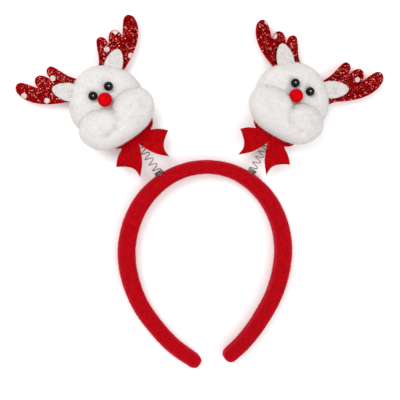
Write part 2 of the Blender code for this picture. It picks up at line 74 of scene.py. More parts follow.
def add_object(name, data):
    """A new object of the scene."""
    obj = bpy.data.objects.new(name, data)
    bpy.context.scene.collection.objects.link(obj)
    return obj


# Camera and light

# Yaw, pitch and roll in degrees, off the straight view down
CAMERA_TURN = (10, 6, 2.5)
CAMERA_DISTANCE = 0.8
CAMERA_TARGET = crown + Vector((-3.1, -26.3, 8.0)) * MM
LIGHT_TARGET = Vector((0, 0.02, 0.01))


def add_camera():
    """Looks down on the headband as the photograph does."""
    yaw, pitch, roll = (math.radians(angle) for angle in CAMERA_TURN)
    towards = Vector((-math.sin(yaw) * math.cos(pitch), math.sin(pitch), math.cos(yaw) * math.cos(pitch)))
    right = Vector((0, 1, 0)).cross(towards).normalized()
    up = towards.cross(right)
    turned = right * math.cos(roll) - up * math.sin(roll)
    up = right * math.sin(roll) + up * math.cos(roll)
    data = bpy.data.cameras.new("camera")
    data.lens = 90
    data.sensor_width = 36
    data.clip_start = 0.01
    camera = add_object("camera", data)
    turn = Matrix((turned, up, towards)).transposed().to_4x4()
    camera.matrix_world = Matrix.Translation(CAMERA_TARGET + towards * CAMERA_DISTANCE) @ turn
    bpy.context.scene.camera = camera


def area_light(name, place, size, power):
    """A round white lamp that faces the headband's middle."""
    data = bpy.data.lights.new(name, "AREA")
    data.shape = "DISK"
    data.size = size
    data.energy = power
    obj = add_object(name, data)
    obj.location = place
    obj.rotation_euler = (LIGHT_TARGET - Vector(place)).to_track_quat("-Z", "Y").to_euler()
    return obj


def add_glint():
    """A small lamp that shines on the bead eyes alone, for the bright spot on each."""
    lit = bpy.data.collections.new("bead_eyes")
    for obj in bpy.data.objects:
        if obj.name.startswith("eye_") and obj.name.endswith("_bead"):
            lit.objects.link(obj)
    lamp = area_light("glint", (0.05, 0.25, 0.90), size=0.30, power=45.0)
    lamp.light_linking.receiver_collection = lit


def add_stage():
    """Soft daylight all round, two broad lamps, and the matt table."""
    world = bpy.data.worlds.new("studio")
    bpy.context.scene.world = world
    world.use_nodes = True
    sky = world.node_tree.nodes["Background"]
    sky.inputs["Color"].default_value = (1.0, 0.995, 0.99, 1)
    sky.inputs["Strength"].default_value = 0.86
    area_light("key", (-0.50, 0.50, 0.95), size=0.60, power=6.6)
    area_light("fill", (0.5, -0.6, 1.1), size=1.1, power=5.2)
    add_glint()
    bm = bmesh.new()
    bmesh.ops.create_grid(bm, x_segments=1, y_segments=1, size=3)
    mesh = bpy.data.meshes.new("floor")
    bm.to_mesh(mesh)
    bm.free()
    floor = add_object("floor", mesh)
    mat = bpy.data.materials.new("floor")
    mat.use_nodes = True
    shader = mat.node_tree.nodes["Principled BSDF"]
    shader.inputs["Base Color"].default_value = (0.975, 0.975, 0.98, 1)
    shader.inputs["Roughness"].default_value = 0.9
    shader.inputs["Specular IOR Level"].default_value = 0.1
    mesh.materials.append(mat)


# The two figures

def node_centre(name):
    """The middle of a CAD piece's box."""
    low, high = (Vector(p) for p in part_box(name))
    return (low + high) / 2


class Figure:
    """One stuffed head's own frame: +X points away from the other head and +Y up the face.

    Its origin is on the table, below the middle between the eyes."""

    def __init__(self, label):
        self.label = label
        self.side = -1 if label == "left" else 1
        inner = node_centre("eye_inner_" + label)
        outer = node_centre("eye_outer_" + label)
        across = ((outer - inner) * Vector((1, 1, 0))).normalized()
        up = Vector((0, 0, 1)).cross(across) * self.side
        origin = (inner + outer) / 2
        origin.z = 0
        self.frame = Matrix.Translation(origin) @ Matrix((across, up, (0, 0, 1))).transposed().to_4x4()

    def place(self, x, y, z):
        """A point given in millimetres in the figure's frame, in the row frame."""
        return self.frame @ Vector((x * MM, y * MM, z * MM))


FIGURES = [Figure("left"), Figure("right")]
# Columns: how far the face's middle is outside the spring's top in millimetres, turn of the head on the spring and
# of the bow on the head in degrees outwards, length of the spring to the neck in millimetres
POSES = {"left": (4.0, -2.7, 0.0, 42.4), "right": (0.4, 0.4, 3.4, 40.0)}
NECK_DROP = 38.0


def hung(figure, turn, x, y):
    """A point of a piece hung on the neck and turned outwards there, in the figure's frame."""
    aside = POSES[figure.label][0]
    p = Matrix.Rotation(math.radians(-turn), 2) @ Vector((x, y))
    return p + Vector((-aside, -NECK_DROP))


# Materials

def new_material(name):
    """A material with its nodes, links and shader."""
    mat = bpy.data.materials.new(name)
    mat.use_nodes = True
    return mat, mat.node_tree.nodes, mat.node_tree.links, mat.node_tree.nodes["Principled BSDF"]


def add_node(nodes, kind, **values):
    """A new node with these settings."""
    node = nodes.new(kind)
    for key, value in values.items():
        setattr(node, key, value)
    return node


def noise_node(nodes, links, scale, detail, roughness=0.55):
    """Noise in the piece's own space."""
    coords = nodes.get("coords") or add_node(nodes, "ShaderNodeTexCoord", name="coords")
    node = nodes.new("ShaderNodeTexNoise")
    node.inputs["Scale"].default_value = scale
    node.inputs["Detail"].default_value = detail
    node.inputs["Roughness"].default_value = roughness
    links.new(coords.outputs["Object"], node.inputs["Vector"])
    return node


def ramp(nodes, links, source, stops):
    """A colour ramp over the source, from pairs of place and colour."""
    node = nodes.new("ShaderNodeValToRGB")
    while len(node.color_ramp.elements) < len(stops):
        node.color_ramp.elements.new(0.5)
    for element, (place, colour) in zip(node.color_ramp.elements, stops):
        element.position = place
        element.color = (*colour, 1)
    links.new(source, node.inputs["Fac"])
    return node


def mix(nodes, links, kind, factor, a, b):
    """Two colours mixed. Each value is a socket, a number or a colour."""
    node = nodes.new("ShaderNodeMix")
    node.data_type = "RGBA"
    node.blend_type = kind
    for socket, value in ((node.inputs[0], factor), (node.inputs[6], a), (node.inputs[7], b)):
        if hasattr(value, "is_output"):
            links.new(value, socket)
        elif isinstance(value, (int, float)):
            socket.default_value = value
        else:
            socket.default_value = (*value, 1)
    return node.outputs[2]


def bump(nodes, links, shader, layers):
    """Bump from several heights, each with its depth in metres."""
    normal = None
    for height, depth in layers:
        node = nodes.new("ShaderNodeBump")
        node.inputs["Distance"].default_value = depth
        node.inputs["Strength"].default_value = 1.0
        links.new(height, node.inputs["Height"])
        if normal:
            links.new(normal, node.inputs["Normal"])
        normal = node.outputs["Normal"]
    links.new(normal, shader.inputs["Normal"])


# Reflection of cloth and fibres
CLOTH_SPECULAR = 0.03
WHITE = (1, 1, 1)
RED_SHEEN = (1.0, 0.05, 0.08)


def cloth_material(name, dark, light, fleck, grain, sheen, tint, depth, roughness=0.9, patches=(90, 0.95)):
    """Brushed cloth: broad and fine mottling between two colours, with flecks of lint and a soft nap.

    grain is the fine mottling's scale and depth its relief in metres. patches gives the broad mottling's scale
    and how dark it gets."""
    mat, nodes, links, shader = new_material(name)
    broad = noise_node(nodes, links, patches[0], 4)
    fine = noise_node(nodes, links, grain, 3, 0.7)
    lint = noise_node(nodes, links, grain * 0.45, 2, 0.4)
    tone = ramp(nodes, links, fine.outputs["Fac"], ((0.32, dark), (0.62, light)))
    wide = ramp(nodes, links, broad.outputs["Fac"], ((0.34, (patches[1],) * 3), (0.62, (1, 1, 1))))
    spots = ramp(nodes, links, lint.outputs["Fac"], ((0.66, (0, 0, 0)), (0.74, (1, 1, 1))))
    colour = mix(nodes, links, "MULTIPLY", 1.0, tone.outputs["Color"], wide.outputs["Color"])
    colour = mix(nodes, links, "MIX", spots.outputs["Color"], colour, fleck)
    links.new(colour, shader.inputs["Base Color"])
    shader.inputs["Roughness"].default_value = roughness
    shader.inputs["Specular IOR Level"].default_value = CLOTH_SPECULAR
    shader.inputs["Sheen Weight"].default_value = sheen
    shader.inputs["Sheen Roughness"].default_value = 0.4
    shader.inputs["Sheen Tint"].default_value = (*tint, 1)
    bump(nodes, links, shader, ((broad.outputs["Fac"], depth * 2), (fine.outputs["Fac"], depth)))
    return mat


def flat_fibre(name, colour, sheen, tint, patches=(600, 0.82)):
    """Pile or lint: one colour with darker patches, given by their scale and how dark they get."""
    mat, nodes, links, shader = new_material(name)
    tone = noise_node(nodes, links, patches[0], 3)
    dark = tuple(c * patches[1] for c in colour)
    tones = ramp(nodes, links, tone.outputs["Fac"], ((0.36, dark), (0.62, colour)))
    links.new(tones.outputs["Color"], shader.inputs["Base Color"])
    shader.inputs["Roughness"].default_value = 0.85
    shader.inputs["Specular IOR Level"].default_value = CLOTH_SPECULAR
    shader.inputs["Sheen Weight"].default_value = sheen
    shader.inputs["Sheen Tint"].default_value = (*tint, 1)
    return mat


FLEECE = cloth_material(
    "fleece", dark=(0.60, 0.578, 0.566), light=(0.72, 0.70, 0.688), fleck=(0.55, 0.525, 0.51), grain=1000,
    sheen=0.10, tint=WHITE, depth=0.00025)
FLEECE_FIBRE = flat_fibre("fleece_fibre", (0.735, 0.715, 0.702), 0.06, WHITE, (1200, 0.86))
WHITE_FELT = cloth_material(
    "white_felt", dark=(0.51, 0.475, 0.465), light=(0.65, 0.615, 0.605), fleck=(0.46, 0.425, 0.415), grain=700,
    sheen=0.08, tint=WHITE, depth=0.0003, patches=(300, 0.90))
RED_FELT = cloth_material(
    "red_felt", dark=(0.20, 0.0005, 0.002), light=(0.48, 0.0014, 0.0045), fleck=(0.46, 0.003, 0.008), grain=900,
    sheen=0.10, tint=(1.0, 0.03, 0.05), depth=0.0003, patches=(260, 0.86))
RED_EDGE = cloth_material(
    "red_felt_edge", dark=(0.36, 0.001, 0.003), light=(0.50, 0.002, 0.007), fleck=(0.52, 0.008, 0.015),
    grain=1300, sheen=0.15, tint=RED_SHEEN, depth=0.0002)
VELVET = cloth_material(
    "red_velvet", dark=(0.27, 0.0005, 0.0028), light=(0.50, 0.0018, 0.007), fleck=(0.20, 0.0005, 0.002),
    grain=1000, sheen=1.0, tint=(1.0, 0.05, 0.10), depth=0.00025, roughness=0.85, patches=(600, 0.70))
VELVET_FIBRE = flat_fibre("velvet_fibre", (0.66, 0.0026, 0.011), 0.8, (1.0, 0.07, 0.12), (850, 0.42))
RED_FIBRE = flat_fibre("felt_fibre", (0.42, 0.0015, 0.005), 0.10, RED_SHEEN)
POMPOM = flat_fibre("pompom", (0.72, 0.0018, 0.006), 0.08, RED_SHEEN)


def bead_material():
    """Glossy black."""
    mat, nodes, links, shader = new_material("black_bead")
    tone = noise_node(nodes, links, 300, 2)
    blacks = ((0.3, (0.0008, 0.0008, 0.0008)), (0.7, (0.002, 0.0018, 0.002)))
    tones = ramp(nodes, links, tone.outputs["Fac"], blacks)
    links.new(tones.outputs["Color"], shader.inputs["Base Color"])
    shader.inputs["Roughness"].default_value = 0.05
    shader.inputs["Specular IOR Level"].default_value = 0.12
    return mat


def wire_material():
    """Dull brownish steel, darker in places."""
    mat, nodes, links, shader = new_material("spring_wire")
    tone = noise_node(nodes, links, 700, 3)
    steels = ((0.38, (0.045, 0.022, 0.018)), (0.62, (0.34, 0.24, 0.21)))
    tones = ramp(nodes, links, tone.outputs["Fac"], steels)
    links.new(tones.outputs["Color"], shader.inputs["Base Color"])
    shader.inputs["Metallic"].default_value = 0.9
    shader.inputs["Roughness"].default_value = 0.35
    bump(nodes, links, shader, ((tone.outputs["Fac"], 0.00005),))
    return mat


GLITTER_SCALE = 1400
DOT_RADIUS = 2.15 * MM
# Columns: share of the flakes that are darker, colour. These colours are painted light: the darkest are painted
# shade and the pink and white ones painted glints, for flakes catching the lamps
GLITTER_PAINTED_GLINTS_AND_SHADE = (
    (0.00, (0.060, 0.0006, 0.001)), (0.28, (0.16, 0.0015, 0.002)), (0.54, (0.29, 0.003, 0.004)),
    (0.78, (0.50, 0.008, 0.009)), (0.92, (0.68, 0.08, 0.08)), (0.955, (0.86, 0.42, 0.38)),
)
DOT_TONES = ((0.0, (0.50, 0.42, 0.41)), (0.6, (0.68, 0.63, 0.62)))


def glitter_material(name, dots):
    """Glitter film: small flakes, each with its own tilt and a tone painted from dark shade through the red to
    pink and white glints, with round white dots at the given places.
    """
    mat, nodes, links, shader = new_material(name)
    coords = add_node(nodes, "ShaderNodeTexCoord", name="coords")
    cells = nodes.new("ShaderNodeTexVoronoi")
    cells.inputs["Scale"].default_value = GLITTER_SCALE
    links.new(coords.outputs["Object"], cells.inputs["Vector"])
    parts = nodes.new("ShaderNodeSeparateColor")
    links.new(cells.outputs["Color"], parts.inputs["Color"])
    # Each flake's tone is painted light, from painted shade to painted glints
    tones = ramp(nodes, links, parts.outputs["Red"], GLITTER_PAINTED_GLINTS_AND_SHADE)
    tones.color_ramp.interpolation = "CONSTANT"
    colour = tones.outputs["Color"]
    for x, y, z in dots:
        away = add_node(nodes, "ShaderNodeVectorMath", operation="DISTANCE")
        away.inputs[1].default_value = (x, y, z)
        links.new(coords.outputs["Object"], away.inputs[0])
        inside = add_node(nodes, "ShaderNodeMath", operation="LESS_THAN")
        inside.inputs[1].default_value = DOT_RADIUS
        links.new(away.outputs["Value"], inside.inputs[0])
        white = ramp(nodes, links, parts.outputs["Green"], DOT_TONES)
        colour = mix(nodes, links, "MIX", inside.outputs["Value"], colour, white.outputs["Color"])
    links.new(colour, shader.inputs["Base Color"])
    shader.inputs["Metallic"].default_value = 0.7
    shader.inputs["Roughness"].default_value = 0.38
    shader.inputs["Specular IOR Level"].default_value = 0.0
    bump(nodes, links, shader, ((parts.outputs["Blue"], 0.00012),))
    return mat


BEAD = bead_material()
WIRE_STEEL = wire_material()


# Mesh tools

def make(name, verts, faces, mat, smooth=True):
    """A piece from points in the row frame."""
    mesh = bpy.data.meshes.new(name)
    mesh.from_pydata([tuple(v) for v in verts], [], faces)
    mesh.update()
    bm = bmesh.new()
    bm.from_mesh(mesh)
    bmesh.ops.recalc_face_normals(bm, faces=bm.faces[:])
    bm.to_mesh(mesh)
    bm.free()
    obj = add_object(name, mesh)
    mesh.materials.append(mat)
    if smooth:
        mesh.shade_smooth()
    return obj


def settle(obj, slot, *nodes):
    """The piece rides with the headband and stands for its CAD nodes, which are hidden. The slot is not used."""
    if nodes:
        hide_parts(*nodes)
    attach(obj, "root")


def smooth_curve(points, steps, closed=False):
    """A smooth line through the points, with that many steps from each to the next."""
    points = [Vector(p) for p in points]
    count = len(points)

    def point(i):
        if closed:
            return points[i % count]
        if i < 0:
            return 2 * points[0] - points[1]
        if i >= count:
            return 2 * points[-1] - points[-2]
        return points[i]

    made = []
    for i in range(count if closed else count - 1):
        p0, p1, p2, p3 = (point(i + k) for k in (-1, 0, 1, 2))
        for step in range(steps):
            t = step / steps
            made.append(0.5 * (2 * p1 + (p2 - p0) * t + (2 * p0 - 5 * p1 + 4 * p2 - p3) * t**2
                               + (3 * p1 - p0 - 3 * p2 + p3) * t**3))
    if not closed:
        made.append(points[-1])
    return made


def evenly(points, count):
    """That many points at equal distances along the line."""
    lengths = [0.0]
    for a, b in zip(points, points[1:]):
        lengths.append(lengths[-1] + (b - a).length)
    made = []
    k = 0
    for i in range(count):
        wanted = lengths[-1] * i / (count - 1)
        while k < len(points) - 2 and lengths[k + 1] < wanted:
            k += 1
        made.append(points[k].lerp(points[k + 1], (wanted - lengths[k]) / (lengths[k + 1] - lengths[k])))
    return made


def lofted(rings, sides):
    """The faces between rings of points that follow each other, and one face at either end."""
    faces = []
    for ring in range(rings - 1):
        for k in range(sides):
            a, b = ring * sides + k, ring * sides + (k + 1) % sides
            faces.append((a, b, b + sides, a + sides))
    faces.append(tuple(range(sides)))
    faces.append(tuple(range((rings - 1) * sides, rings * sides)))
    return faces


def tube(name, line, radius, sides, mat):
    """A round wire along a line of points."""
    verts = []
    last = len(line) - 1
    normal = Vector((0, 0, 1))
    for i, centre in enumerate(line):
        along = (line[min(i + 1, last)] - line[max(i - 1, 0)]).normalized()
        normal = (normal - along * normal.dot(along)).normalized()
        other = along.cross(normal)
        for k in range(sides):
            angle = 2 * math.pi * k / sides
            verts.append(centre + radius * (normal * math.cos(angle) + other * math.sin(angle)))
    return make(name, verts, lofted(len(line), sides), mat)


# Shares of a fibre's stated length: its least reach, how far up and how much it bends, how deep it is rooted
FIBRE_LEAST, FIBRE_KNEE, FIBRE_BEND, FIBRE_ROOT = 0.5, 0.55, 0.35, 0.15


def fibres(name, obj, count, length, width, lean, mat, seed, keep=None):
    """Short fibres standing on a piece: thin curved blades, spread by area where keep(places) allows them."""
    rng = np.random.default_rng(seed)
    mesh = obj.data
    mesh.calc_loop_triangles()
    corners = np.empty(len(mesh.loop_triangles) * 3, dtype=np.int32)
    mesh.loop_triangles.foreach_get("vertices", corners)
    corners = corners.reshape(-1, 3)
    places = np.empty(len(mesh.vertices) * 3)
    mesh.vertices.foreach_get("co", places)
    places = places.reshape(-1, 3)
    normals = np.empty(len(mesh.vertices) * 3)
    mesh.vertices.foreach_get("normal", normals)
    normals = normals.reshape(-1, 3)
    a, b, c = (places[corners[:, k]] for k in range(3))
    area = np.linalg.norm(np.cross(b - a, c - a), axis=1)
    pick = rng.choice(len(corners), count, p=area / area.sum())
    u, v = rng.random(count), rng.random(count)
    flip = u + v > 1
    u[flip], v[flip] = 1 - u[flip], 1 - v[flip]
    w = 1 - u - v
    tri = corners[pick]
    root = places[tri[:, 0]] * w[:, None] + places[tri[:, 1]] * u[:, None] + places[tri[:, 2]] * v[:, None]
    out = normals[tri[:, 0]] * w[:, None] + normals[tri[:, 1]] * u[:, None] + normals[tri[:, 2]] * v[:, None]
    if keep is not None:
        good = keep(root)
        root, out = root[good], out[good]
        count = len(root)
    stray = rng.normal(size=(count, 3)) * lean
    rise = out + stray
    rise /= np.linalg.norm(rise, axis=1)[:, None]
    side = np.cross(rise, rng.normal(size=(count, 3)))
    side /= np.linalg.norm(side, axis=1)[:, None]
    reach = length * (FIBRE_LEAST + rng.random(count))[:, None]
    bend = rng.normal(size=(count, 3)) * FIBRE_BEND
    mid = root + rise * reach * FIBRE_KNEE
    tip = root + (rise + bend * 0.5) * reach
    verts = np.empty((count * 4, 3))
    verts[0::4] = root - side * width / 2 - out * length * FIBRE_ROOT
    verts[1::4] = root + side * width / 2 - out * length * FIBRE_ROOT
    verts[2::4] = mid + side * width / 3
    verts[3::4] = tip
    verts[:, 2] = np.maximum(verts[:, 2], REST_GAP)
    base = np.arange(count) * 4
    tris = np.empty((count * 2, 3), dtype=np.int32)
    tris[0::2] = np.stack([base, base + 1, base + 2], 1)
    tris[1::2] = np.stack([base, base + 2, base + 3], 1)
    fuzz = bpy.data.meshes.new(name)
    fuzz.vertices.add(count * 4)
    fuzz.vertices.foreach_set("co", verts.ravel())
    fuzz.loops.add(count * 6)
    fuzz.loops.foreach_set("vertex_index", tris.ravel())
    fuzz.polygons.add(count * 2)
    fuzz.polygons.foreach_set("loop_start", np.arange(0, count * 6, 3, dtype=np.int32))
    fuzz.update(calc_edges=True)
    made = add_object(name, fuzz)
    fuzz.materials.append(mat)
    return made


# Band

BAND_HALF_WIDTH = 63.3 * MM
BAND_DROP = 152.0 * MM
BAND_THICKNESS = 14.0 * MM
# Columns: share of the half width, share of the drop, share of the thickness
BAND_ROUTE = (
    (0.000, 0.000, 0.78), (0.354, 0.028, 0.82), (0.662, 0.109, 0.92), (0.882, 0.228, 0.98),
    (1.000, 0.377, 1.00), (1.001, 0.529, 1.00), (0.877, 0.702, 0.96), (0.656, 0.851, 0.93),
    (0.450, 0.951, 0.90), (0.242, 1.023, 0.86),
)
# The velvet is gathered a little past the left end and short of the right one
LEFT_REACH, RIGHT_REACH = 1.2 * MM, -1.9 * MM
# How square the section is, outside and inside
OUTSIDE_POWER, INSIDE_POWER = 2.15, 3.4
SEAM_DEPTH, SEAM_WIDTH = 0.5 * MM, 0.10
# Broad and fine unevenness of the velvet: scale and height
UNEVEN = ((60, 0.12 * MM), (330, 0.04 * MM))
BAND_STEPS, BAND_SIDES, TIP_RINGS = 241, 40, 8


def lengthened(arm, reach):
    """The route of one arm of the band with its end moved on by reach."""
    along = (arm[-1] - arm[-2]).to_2d().normalized() * reach
    return arm[:-1] + [arm[-1] + along.to_3d()]


def build_band():
    """The padded hoop in its velvet sleeve: domed outside, flatter inside, gathered at its tips."""
    right = [Vector((x * BAND_HALF_WIDTH, -y * BAND_DROP, t * BAND_THICKNESS)) for x, y, t in BAND_ROUTE]
    left = [Vector((-p.x, p.y, p.z)) for p in right[1:]]
    route = lengthened(left, LEFT_REACH)[::-1] + lengthened(right, RIGHT_REACH)
    line = evenly(smooth_curve(route, 16), BAND_STEPS)
    rings = []
    last = len(line) - 1

    def section(centre, out, thickness, share):
        """One ring round the band, with the sleeve's seam along its inside."""
        ring = []
        for k in range(BAND_SIDES):
            angle = 2 * math.pi * k / BAND_SIDES
            c, s = math.cos(angle), math.sin(angle)
            power = 2 / (OUTSIDE_POWER if c > 0 else INSIDE_POWER)
            radial = math.copysign(abs(c) ** power, c) * thickness / 2
            across = math.copysign(abs(s) ** power, s) * BAND_DEPTH / 2
            seam = SEAM_DEPTH * math.exp(-((angle - math.pi) / SEAM_WIDTH) ** 2)
            p = centre + share * (out * (radial + seam) + Vector((0, 0, across)))
            uneven = sum(noise.noise(p * scale) * height for scale, height in UNEVEN)
            away = (p - centre).normalized()
            p += away * (uneven - UNEVEN[0][1])
            p.z = max(p.z, REST_GAP)
            ring.append(p)
        return ring

    for i, p in enumerate(line):
        along = line[min(i + 1, last)] - line[max(i - 1, 0)]
        out = Vector((-along.y, along.x, 0)).normalized()
        centre = Vector((crown.x + p.x, crown.y + p.y, BAND_DEPTH / 2))
        rings.append(section(centre, out, p.z, 1.0))
        if i in (0, last):
            ahead = Vector((out.y, -out.x, 0)) * (-1 if i == 0 else 1)
            dome = []
            for ring in range(1, TIP_RINGS + 1):
                angle = math.radians(90 * ring / (TIP_RINGS + 0.4))
                tip = centre + ahead * math.sin(angle) * p.z / 2
                dome.append(section(tip, out, p.z, math.cos(angle) ** 0.8))
            rings = dome[::-1] + rings if i == 0 else rings + dome
    verts = [p for ring in rings for p in ring]
    band = make("band_velvet", verts, lofted(len(rings), BAND_SIDES), VELVET)
    settle(band, "red_velvet", "band")
    nap = fibres("band_nap", band, count=70000, length=0.55 * MM, width=0.11 * MM, lean=0.45, mat=VELVET_FIBRE,
                 seed=3, keep=lambda p: p[:, 2] > 0.4 * MM)
    settle(nap, "red_velvet")


# Stuffed head and muzzle

HEAD_HALF_WIDTH = {"left": 29.7, "right": 31.3}
HEAD_HALF_HEIGHT, HEAD_CENTRE = 29.8, -10.5
HEAD_SEAM, HEAD_FRONT, HEAD_BACK = 10.3, 13.2, 13.0
# How round the head's outline is: 2 for an oval
HEAD_POWER, HEAD_POINTS = 1.85, 72
# Columns: place, depth and width of the dents at the eyes, the nose and the antlers' roots
HEAD_DENTS = (
    (-7.0, 0.0, 2.0, 6.0), (7.0, 0.0, 2.0, 6.0), (0.0, -7.9, 1.2, 7.0),
    (-19.0, 10.5, 1.1, 5.0), (19.0, 10.5, 1.1, 5.0),
)
# Columns: place in millimetres in the figure's frame, from the notch under the nose round the outer cheek and back
MUZZLE_OUTLINE = (
    (0.3, -14.0), (2.6, -11.6), (7.6, -9.4), (15.7, -8.1), (23.4, -10.0), (29.7, -15.5), (32.3, -21.9),
    (31.2, -28.5), (26.6, -36.2), (19.4, -41.4), (10.0, -43.7), (0.0, -44.2), (-11.0, -43.7), (-19.9, -41.7),
    (-27.2, -36.7), (-31.9, -30.6), (-33.4, -23.7), (-31.2, -16.6), (-23.5, -11.4), (-13.5, -8.5), (-5.0, -10.3),
)
MUZZLE_CENTRE = (0.0, -26.5)
# Columns: outwards and up in millimetres, turn in degrees, how far its outline is drawn in
MUZZLE_SET = {"left": (0.6, 0.2, -1.8, 0.5), "right": (-0.1, -0.1, 0.0, 0.1)}
MUZZLE_SEAM, MUZZLE_FRONT, MUZZLE_BACK = 19.0, 13.2, 4.0
# From the notch round the inner side of the outer cheek
CREASE = ((0.2, -13.0), (0.5, -17.0), (0.2, -22.5), (2.0, -26.8), (5.6, -29.6), (10.0, -31.0), (14.0, -31.2))
# Columns: depth and width of the crease's sharp fold and of the hollow round it
CREASE_DENTS = ((2.2, 2.2), (2.0, 6.0))
# How much of the crease's depth is lost at its end, and its share at the notch
CREASE_FADE, CREASE_START = 0.55, 0.55
# Columns: place, depth and width of the dents in the inner cheek and at the crease's end
MUZZLE_DENTS = ((-21.5, -26.5, 1.3, 4.0), (14.0, -31.2, 1.0, 2.4))
# Scale and height of the lumps that stuffing makes
HEAD_LUMPS, MUZZLE_LUMPS = (0.11, 0.9), (0.10, 0.8)
PILLOW_RINGS = 26
PILLOW_POWER = 2.5
CLOTH_FRAMES = 16


def head_outline(half_width):
    """An oval, slightly drawn in between its top, bottom and sides."""
    made = []
    for i in range(HEAD_POINTS):
        c, s = math.cos(2 * math.pi * i / HEAD_POINTS), math.sin(2 * math.pi * i / HEAD_POINTS)
        reach = (abs(c) ** HEAD_POWER + abs(s) ** HEAD_POWER) ** (-1 / HEAD_POWER)
        made.append(Vector((half_width * c * reach, HEAD_HALF_HEIGHT * s * reach)))
    return made


def pillow(name, figure, outline, centre, seam, front, back, mat):
    """A closed stuffed form round its seam, in the figure's frame, flat where it would sink into the table."""
    count = len(outline)
    verts, faces = [], []

    def ring(share, height):
        """The outline shrunk to a share and put at a height."""
        start = len(verts)
        for p in outline:
            verts.append(figure.place(centre[0] + p.x * share, centre[1] + p.y * share, height))
        return start

    def join(a, b):
        """The faces between two rings."""
        for i in range(count):
            j = (i + 1) % count
            faces.append((a + i, a + j, b + j, b + i))

    shares = [math.sin(math.pi / 2 * k / PILLOW_RINGS) for k in range(PILLOW_RINGS, 0, -1)]
    edge = ring(1.0, seam)
    for depth in (front, -back):
        outer = edge
        for share in shares[1:]:
            swell = math.sqrt(max(0.0, 1 - share**PILLOW_POWER))
            inner = ring(share, max(seam + depth * swell, 0.0))
            join(outer, inner)
            outer = inner
        verts.append(figure.place(centre[0], centre[1], max(seam + depth, 0.0)))
        for i in range(count):
            faces.append((outer + i, outer + (i + 1) % count, len(verts) - 1))
    return make(name, verts, faces, mat)


def soften(bm):
    """Evens out the mesh a little."""
    bmesh.ops.smooth_vert(bm, verts=bm.verts, factor=0.5, use_axis_x=True, use_axis_y=True, use_axis_z=True)


def stuff(obj, voxel, pressure, cap):
    """Swells a stuffed piece by a short cloth simulation, with each point kept within cap of where it was."""
    remesh = obj.modifiers.new("remesh", "REMESH")
    remesh.mode = "VOXEL"
    remesh.voxel_size = voxel
    graph = bpy.context.evaluated_depsgraph_get()
    mesh = bpy.data.meshes.new_from_object(obj.evaluated_get(graph))
    obj.modifiers.clear()
    obj.data = mesh
    start = np.empty(len(mesh.vertices) * 3)
    mesh.vertices.foreach_get("co", start)
    cloth = obj.modifiers.new("cloth", "CLOTH")
    cloth.settings.use_pressure = True
    cloth.settings.uniform_pressure_force = pressure
    cloth.settings.effector_weights.gravity = 0
    cloth.settings.quality = 4
    cloth.point_cache.frame_start, cloth.point_cache.frame_end = 1, CLOTH_FRAMES
    for step in range(1, CLOTH_FRAMES + 1):
        bpy.context.scene.frame_set(step)
    graph = bpy.context.evaluated_depsgraph_get()
    swollen = np.empty(len(mesh.vertices) * 3)
    obj.evaluated_get(graph).data.vertices.foreach_get("co", swollen)
    obj.modifiers.clear()
    move = (swollen - start).reshape(-1, 3)
    far = np.linalg.norm(move, axis=1)[:, None]
    move *= cap * np.tanh(far / cap) / np.maximum(far, 1e-9)
    mesh.vertices.foreach_set("co", (start.reshape(-1, 3) + move).ravel())
    bpy.context.scene.frame_set(1)
    bm = bmesh.new()
    bm.from_mesh(mesh)
    soften(bm)
    bmesh.ops.subdivide_edges(bm, edges=bm.edges, cuts=1, smooth=1.0, use_grid_fill=True)
    soften(bm)
    bm.to_mesh(mesh)
    bm.free()
    mesh.shade_smooth()


def press(obj, figure, depth_at):
    """Presses the front of a stuffed piece in by depth_at(x, y), in millimetres."""
    back = figure.frame.inverted()
    lowest = 0.02 * MM
    for vert in obj.data.vertices:
        p = back @ vert.co / MM
        facing = max(0.0, vert.normal.z)
        vert.co.z -= depth_at(p.x, p.y) * facing * MM
        if vert.co.z < lowest:
            vert.co.z = lowest
    obj.data.update()


def soft(distance, width):
    """1 at no distance, and less and less further off."""
    return math.exp(-((distance / width) ** 2))


def dents(table, x, y):
    """How deep the table's dents are at a point."""
    return sum(deep * soft(math.hypot(x - across, y - up), width) for across, up, deep, width in table)


def lumps(values, shift, x, y):
    """How much the stuffing lifts or lowers a point."""
    scale, height = values
    return noise.noise(Vector((x, y, 0)) * scale + shift) * height


def build_head(figure):
    """The fleece head, pressed in round its eyes, nose and antlers."""
    name = "head_" + figure.label
    outline = head_outline(HEAD_HALF_WIDTH[figure.label])
    centre = (0.0, HEAD_CENTRE)
    head = pillow(name + "_fleece", figure, outline, centre, HEAD_SEAM, HEAD_FRONT, HEAD_BACK, FLEECE)
    stuff(head, voxel=2.0 * MM, pressure=4, cap=1.2 * MM)
    shift = Vector((figure.side * 40, 13, 5))
    press(head, figure, lambda x, y: dents(HEAD_DENTS, x, y) + lumps(HEAD_LUMPS, shift, x, y))
    settle(head, "white_fleece", name)
    fuzz = fibres(name + "_fuzz", head, count=34000, length=0.75 * MM, width=0.10 * MM, lean=0.7,
                  mat=FLEECE_FIBRE, seed=11, keep=lambda p: p[:, 2] > 1 * MM)
    settle(fuzz, "white_fleece")


